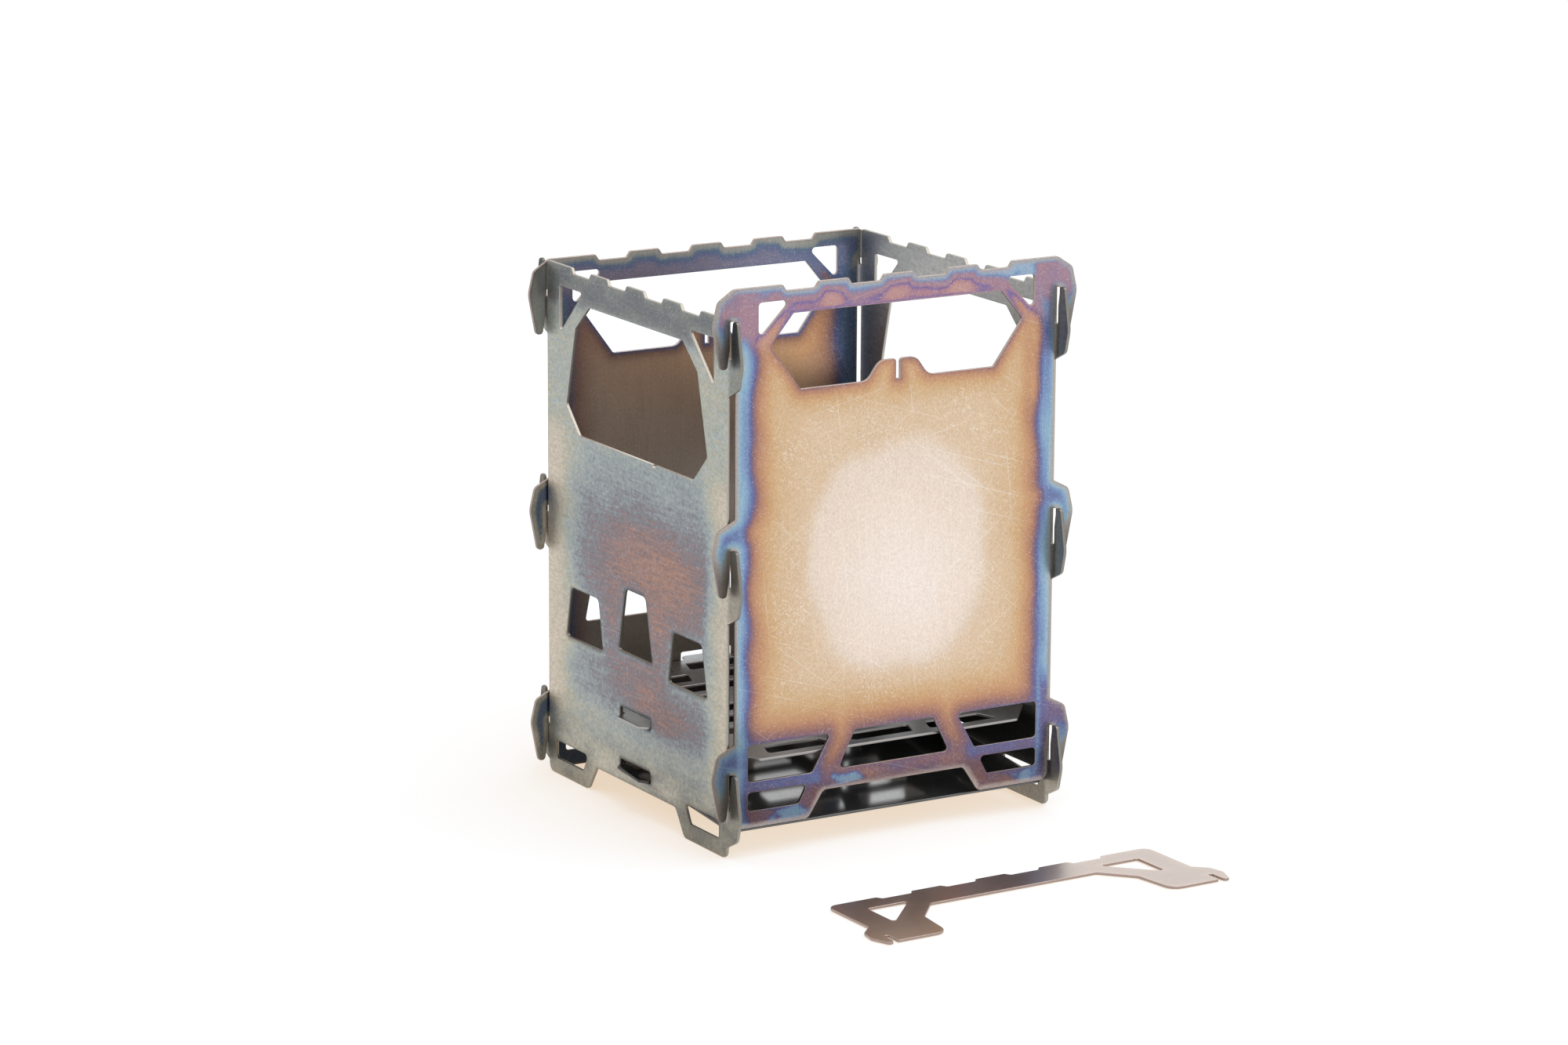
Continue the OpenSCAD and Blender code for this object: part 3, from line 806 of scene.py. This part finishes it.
def plateHeat(backShade):
    # heat falls towards the edges; the back part of the plate is painted darker by the given amount, as
    # shade inside the stove
    def heatOf(u, v, toRim, toHole, inner):
        edge = plateFace["edge"] * np.exp(-np.minimum(toRim, toHole) / plateFace["edgeFade"])
        return plateFace["heat"] - edge, 0 * u, backShade * rise(v, plateFace["backShadeFrom"]), 0 * u
    return heatOf


fireGrate = {"name": "fire_grate_plate", "node": "fire_grate", "body": "stove", "slot": "grate_sheet",
             "facing": (0, 0, 1), "across": (1, 0, 0), "seed": 620, "backShade": 0.0,
             "finish": sheetFinish("grate", grateLook)}
ashPlate = {"name": "ash_tray_plate", "node": "ash_plate", "body": "ash", "slot": "ash_sheet",
            "facing": (0, 0, 1), "across": (1, 0, 0), "seed": 780, "backShade": 0.55,
            "finish": sheetFinish("ash plate", ashLook)}
for plate in (fireGrate, ashPlate):
    cutSheet(plate, plateHeat(plate["backShade"]))


# loose pot bar: grey-brown sheet, paler along the edges; the paler right end is a painted reflection of
# the bright backdrop
barTint = [(0.0, (232, 213, 202)), (0.35, (205, 191, 182)),
           (0.7, (181, 173, 168)), (1.0, (150, 142, 137))]
barLook = {
    **sideLook, **allOver(barTint), "sway": 0.2, "mottle": 0.1, "streak": 0.1,
    "grain": 0.12, "grit": 0.08, "grainSize": (24.0, 0.7), "speck": 0.03,
    "rough": 0.22, "roughSpread": 0.06, "cutDark": (110, 92, 86), "cutPale": (206, 184, 174),
}
# right and rightFrom: the painted reflection on the right end
barFaceAndSheen = {"heat": 0.76, "right": 0.40, "rightFrom": (5, 30), "edge": 0.15, "edgeFade": 1.5}


def barHeatAndSheen(u, v, toRim, toHole, inner):
    # heat falls towards the edges, and falls to the right as a painted reflection that makes the right end
    # paler
    edge = barFaceAndSheen["edge"] * np.exp(-np.minimum(toRim, toHole) / barFaceAndSheen["edgeFade"])
    heat = barFaceAndSheen["heat"] - barFaceAndSheen["right"] * rise(u, barFaceAndSheen["rightFrom"]) - edge
    return heat, 0 * u, 0 * u, 0 * u


potBar = {"name": "pot_bar_strip", "node": "pot_bar", "body": "bar", "slot": "bar_sheet",
          "facing": (0, 0, 1), "across": (1, 0, 0), "seed": 940, "finish": sheetFinish("pot bar", barLook)}
cutSheet(potBar, barHeatAndSheen)


# white floor and world, soft light from above, camera
stage = {"floorSize": 14.0, "floorDrop": 0.0002,
         "floorShade": (0.325, 0.57, 0.81, 1), "glow": (0.776, 0.608, 0.447, 1),
         "worldFill": 0.50, "sunStrength": 1.0, "sunSpread": 70.0, "sunTurn": (18, 14, 0)}


def seenDirectly(tree):
    # 1 for camera, mirror and see-through rays
    path = addNode(tree, "LightPath")
    seen = calc(tree, "MAXIMUM", path.outputs["Is Camera Ray"], path.outputs["Is Glossy Ray"])
    return calc(tree, "MAXIMUM", seen, path.outputs["Is Transmission Ray"])


def makeFloor():
    half = stage["floorSize"] / 2
    mesh = bpy.data.meshes.new("floor")
    corner = half * np.array([(-1, -1), (1, -1), (1, 1), (-1, 1)])
    place = np.column_stack([corner, np.full(4, -stage["floorDrop"])])
    mesh.from_pydata(place.tolist(), [], [(0, 1, 2, 3)])
    floor = bpy.data.objects.new("floor", mesh)
    scene.collection.objects.link(floor)
    paint = bpy.data.materials.new("floor paint")
    paint.use_nodes = True
    tree = paint.node_tree
    tree.nodes.clear()
    # the cool paint and its warm glow are white together, and the shadow is warm
    matt = addNode(tree, "BsdfDiffuse", {"Color": stage["floorShade"]})
    glow = addNode(tree, "Emission", {"Color": stage["glow"], "Strength": seenDirectly(tree)})
    both = addNode(tree, "AddShader", {0: matt.outputs[0], 1: glow.outputs[0]})
    addNode(tree, "OutputMaterial", {"Surface": both.outputs[0]})
    mesh.materials.append(paint)


def makeLight():
    world = bpy.data.worlds.new("studio")
    scene.world = world
    world.use_nodes = True
    tree = world.node_tree
    tree.nodes.clear()
    fill = stage["worldFill"]
    strength = calc(tree, "ADD", calc(tree, "MULTIPLY", seenDirectly(tree), 1.0 - fill), fill)
    sky = addNode(tree, "Background", {"Color": (1, 1, 1, 1), "Strength": strength})
    addNode(tree, "OutputWorld", {"Surface": sky.outputs[0]})
    lamp = bpy.data.lights.new("top light", "SUN")
    lamp.energy = stage["sunStrength"]
    lamp.angle = math.radians(stage["sunSpread"])
    thing = bpy.data.objects.new("top light", lamp)
    thing.rotation_euler = [math.radians(angle) for angle in stage["sunTurn"]]
    scene.collection.objects.link(thing)


view = {"place": (-0.77015, -1.24289, 0.43628), "turn": (76.7359, -0.3053, -30.7009),
        "lens": 116.993, "sensor": 36.0}


def makeCamera():
    camera = bpy.data.cameras.new("camera")
    camera.sensor_width = view["sensor"]
    camera.lens = view["lens"]
    thing = bpy.data.objects.new("camera", camera)
    thing.location = view["place"]
    thing.rotation_euler = [math.radians(angle) for angle in view["turn"]]
    scene.collection.objects.link(thing)
    scene.camera = thing


makeFloor()
makeLight()
makeCamera()
scene.view_settings.view_transform = "Standard"
print("floor, light and camera set")
